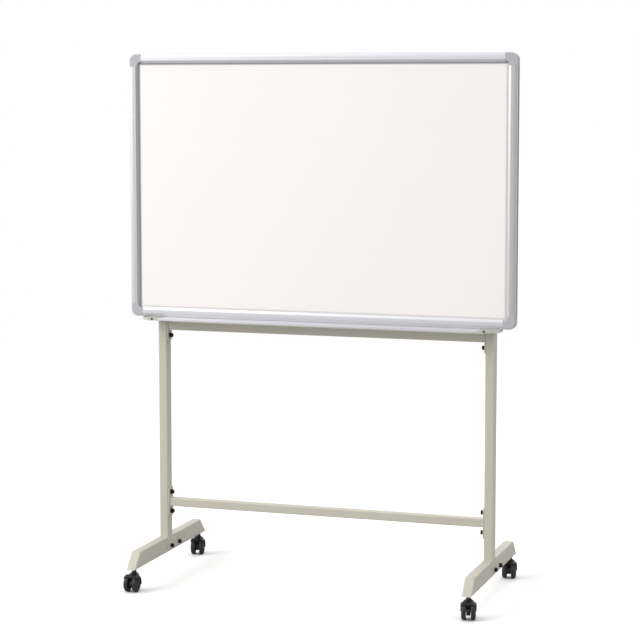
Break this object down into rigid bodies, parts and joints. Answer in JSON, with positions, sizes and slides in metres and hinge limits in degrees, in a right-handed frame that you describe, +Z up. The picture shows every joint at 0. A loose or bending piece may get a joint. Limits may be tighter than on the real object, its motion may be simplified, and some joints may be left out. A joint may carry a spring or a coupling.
{
  "type": "rolling whiteboard",
  "caption": "Framed white writing board with a pen tray on a two-legged steel stand that rolls on swivelling twin-wheel casters.",
  "frame": {"origin": "on the floor, midway between the two uprights and in their mid plane, which is also the middle of the footprint", "axes": "+Z up; +X to the right of a person who faces the writing side; the writing side faces -Y"},
  "size_m": [1.2, 0.5942, 1.6],
  "materials": {
    "writing_enamel": "glossy warm-white enamel",
    "core_board": "plain fibreboard",
    "zinc_sheet": "dull zinc-coated sheet",
    "satin_aluminium": "satin anodised",
    "corner_plastic": "moulded light grey, slightly glossy",
    "tray_end_plastic": "moulded light grey",
    "dark_screws": "black",
    "stand_paint": "smooth satin powder paint, warm grey-beige",
    "black_plastic": "moulded",
    "zinc_screws": "zinc plated",
    "black_bolts": "black oxide",
    "pale_washers": "pale zinc",
    "caster_plastic": "moulded black nylon",
    "caster_wheel": "moulded black nylon"
  },
  "bodies": {
    "stand": {"writing_surface": "writing_enamel", "board_core": "core_board", "back_sheet": "zinc_sheet", "frame_bottom": "satin_aluminium", "frame_top": "satin_aluminium", "frame_left": "satin_aluminium", "frame_right": "satin_aluminium", "pen_tray": "satin_aluminium", "corner_cap_top_left": "corner_plastic", "corner_cap_top_right": "corner_plastic", "corner_cap_bottom_left": "corner_plastic", "corner_cap_bottom_right": "corner_plastic", "tray_end_left": "tray_end_plastic", "tray_end_right": "tray_end_plastic", "tray_screws": "dark_screws", "board_bracket_lower_left": "stand_paint", "board_bracket_lower_right": "stand_paint", "board_bracket_upper_left": "stand_paint", "board_bracket_upper_right": "stand_paint", "bracket_screws": "zinc_screws", "upright_left": "stand_paint", "upright_cap_left": "black_plastic", "rear_foot_left": "stand_paint", "front_foot_left": "stand_paint", "upright_right": "stand_paint", "upright_cap_right": "black_plastic", "rear_foot_right": "stand_paint", "front_foot_right": "stand_paint", "upper_crossbar": "stand_paint", "upper_crossbar_plates": "stand_paint", "lower_crossbar": "stand_paint", "lower_crossbar_plates": "stand_paint", "crossbar_bolts": "black_bolts", "crossbar_washers": "black_bolts", "foot_bolts": "black_bolts", "foot_washers": "pale_washers", "caster_sockets": "black_plastic"},
    "caster_front_left": {"caster_front_left_stem": "zinc_screws", "caster_front_left_hood": "caster_plastic", "caster_front_left_axle": "zinc_screws"},
    "caster_front_left_wheel_left": {"caster_front_left_wheel_left": "caster_wheel"},
    "caster_front_left_wheel_right": {"caster_front_left_wheel_right": "caster_wheel"},
    "caster_front_right": {"caster_front_right_stem": "zinc_screws", "caster_front_right_hood": "caster_plastic", "caster_front_right_axle": "zinc_screws"},
    "caster_front_right_wheel_left": {"caster_front_right_wheel_left": "caster_wheel"},
    "caster_front_right_wheel_right": {"caster_front_right_wheel_right": "caster_wheel"},
    "caster_rear_left": {"caster_rear_left_stem": "zinc_screws", "caster_rear_left_hood": "caster_plastic", "caster_rear_left_axle": "zinc_screws"},
    "caster_rear_left_wheel_left": {"caster_rear_left_wheel_left": "caster_wheel"},
    "caster_rear_left_wheel_right": {"caster_rear_left_wheel_right": "caster_wheel"},
    "caster_rear_right": {"caster_rear_right_stem": "zinc_screws", "caster_rear_right_hood": "caster_plastic", "caster_rear_right_axle": "zinc_screws"},
    "caster_rear_right_wheel_left": {"caster_rear_right_wheel_left": "caster_wheel"},
    "caster_rear_right_wheel_right": {"caster_rear_right_wheel_right": "caster_wheel"}
  },
  "joints": [
    {"name": "caster_front_left_swivel", "type": "hinge", "parent": "stand", "child": "caster_front_left", "pos_m": [-0.515, -0.251, 0.0664], "axis": [0, 0, 1], "continuous": true},
    {"name": "caster_front_left_wheel_left_roll", "type": "hinge", "parent": "caster_front_left", "child": "caster_front_left_wheel_left", "pos_m": [-0.51395, -0.27097, 0.0245], "axis": [0.9986, 0.0523, 0], "continuous": true},
    {"name": "caster_front_left_wheel_right_roll", "type": "hinge", "parent": "caster_front_left", "child": "caster_front_left_wheel_right", "pos_m": [-0.51395, -0.27097, 0.0245], "axis": [0.9986, 0.0523, 0], "continuous": true},
    {"name": "caster_front_right_swivel", "type": "hinge", "parent": "stand", "child": "caster_front_right", "pos_m": [0.515, -0.251, 0.0664], "axis": [0, 0, 1], "continuous": true},
    {"name": "caster_front_right_wheel_left_roll", "type": "hinge", "parent": "caster_front_right", "child": "caster_front_right_wheel_left", "pos_m": [0.51984, -0.27041, 0.0245], "axis": [0.9703, 0.2419, 0], "continuous": true},
    {"name": "caster_front_right_wheel_right_roll", "type": "hinge", "parent": "caster_front_right", "child": "caster_front_right_wheel_right", "pos_m": [0.51984, -0.27041, 0.0245], "axis": [0.9703, 0.2419, 0], "continuous": true},
    {"name": "caster_rear_left_swivel", "type": "hinge", "parent": "stand", "child": "caster_rear_left", "pos_m": [-0.515, 0.2695, 0.0664], "axis": [0, 0, 1], "continuous": true},
    {"name": "caster_rear_left_wheel_left_roll", "type": "hinge", "parent": "caster_rear_left", "child": "caster_rear_left_wheel_left", "pos_m": [-0.51016, 0.25009, 0.0245], "axis": [0.9703, 0.2419, 0], "continuous": true},
    {"name": "caster_rear_left_wheel_right_roll", "type": "hinge", "parent": "caster_rear_left", "child": "caster_rear_left_wheel_right", "pos_m": [-0.51016, 0.25009, 0.0245], "axis": [0.9703, 0.2419, 0], "continuous": true},
    {"name": "caster_rear_right_swivel", "type": "hinge", "parent": "stand", "child": "caster_rear_right", "pos_m": [0.515, 0.2695, 0.0664], "axis": [0, 0, 1], "continuous": true},
    {"name": "caster_rear_right_wheel_left_roll", "type": "hinge", "parent": "caster_rear_right", "child": "caster_rear_right_wheel_left", "pos_m": [0.51778, 0.2497, 0.0245], "axis": [0.9903, 0.1392, 0], "continuous": true},
    {"name": "caster_rear_right_wheel_right_roll", "type": "hinge", "parent": "caster_rear_right", "child": "caster_rear_right_wheel_right", "pos_m": [0.51778, 0.2497, 0.0245], "axis": [0.9903, 0.1392, 0], "continuous": true}
  ]
}
